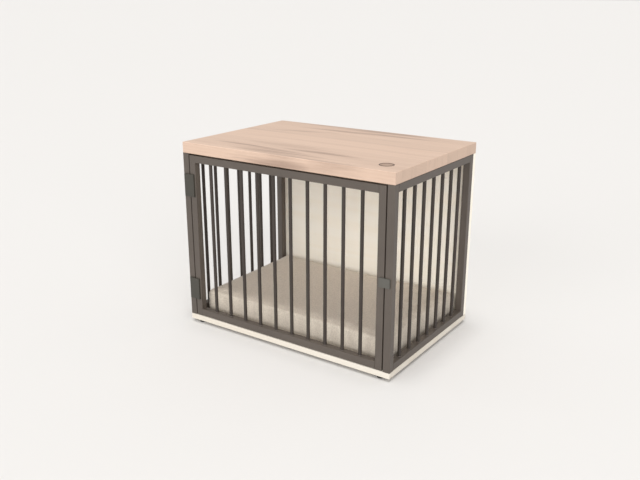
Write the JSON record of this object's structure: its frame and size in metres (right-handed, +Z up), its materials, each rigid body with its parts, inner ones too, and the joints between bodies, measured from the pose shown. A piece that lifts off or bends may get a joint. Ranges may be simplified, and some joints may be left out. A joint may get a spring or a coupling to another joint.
{
  "type": "dog crate end table",
  "caption": "Furniture dog crate that serves as an end table: wood top, barred metal frames, a barred door on strap hinges with a slide latch, board back, base and a floor cushion.",
  "frame": {"origin": "centre of the overall footprint, on the floor", "axes": "+X to the right of a person who faces the door, +Y from the door to the back panel, +Z up"},
  "size_m": [0.84, 0.574, 0.67],
  "materials": {
    "wood_top": "satin",
    "pale_board": "satin",
    "frame_coat": "satin powder coat",
    "hardware_coat": "satin",
    "screw_steel": "zinc plated",
    "foot_rubber": "matte",
    "cushion_fabric": "matte woven cover",
    "badge_metal": "satin"
  },
  "bodies": {
    "frame": {"back_panel": "pale_board", "base_board": "pale_board", "base_screws": "screw_steel", "cushion": "cushion_fabric", "feet": "foot_rubber", "hinge_pins": "screw_steel", "left_bottom_rail": "frame_coat", "left_front_post": "frame_coat", "left_rear_post": "frame_coat", "left_side_bar_1": "frame_coat", "left_side_bar_2": "frame_coat", "left_side_bar_3": "frame_coat", "left_side_bar_4": "frame_coat", "left_side_bar_5": "frame_coat", "left_side_bar_6": "frame_coat", "left_side_bar_7": "frame_coat", "left_top_rail": "frame_coat", "lower_hinge_post_leaf": "hardware_coat", "panel_dowels": "pale_board", "right_bottom_rail": "frame_coat", "right_front_post": "frame_coat", "right_rear_post": "frame_coat", "right_side_bar_1": "frame_coat", "right_side_bar_2": "frame_coat", "right_side_bar_3": "frame_coat", "right_side_bar_4": "frame_coat", "right_side_bar_5": "frame_coat", "right_side_bar_6": "frame_coat", "right_side_bar_7": "frame_coat", "right_top_rail": "frame_coat", "table_top": "wood_top", "top_badge": "badge_metal", "top_screws": "screw_steel", "upper_hinge_post_leaf": "hardware_coat"},
    "door": {"door_bar_01": "frame_coat", "door_bar_02": "frame_coat", "door_bar_03": "frame_coat", "door_bar_04": "frame_coat", "door_bar_05": "frame_coat", "door_bar_06": "frame_coat", "door_bar_07": "frame_coat", "door_bar_08": "frame_coat", "door_bar_09": "frame_coat", "door_bar_10": "frame_coat", "door_bottom_rail": "frame_coat", "door_hinge_stile": "frame_coat", "door_latch_stile": "frame_coat", "door_stile_caps": "frame_coat", "door_top_rail": "frame_coat", "lower_hinge_door_leaf": "hardware_coat", "upper_hinge_door_leaf": "hardware_coat"},
    "latch": {"latch_plate": "hardware_coat", "latch_bolt": "hardware_coat"}
  },
  "joints": [
    {"name": "door_swing", "type": "hinge", "parent": "frame", "child": "door", "pos_m": [-0.4122, -0.2842, 0.33], "axis": [0, 0, -1], "range_deg": [0, 175]},
    {"name": "latch_slide", "type": "slide", "parent": "door", "child": "latch", "axis": [1, 0, 0], "range_m": [0, 0.006]}
  ]
}
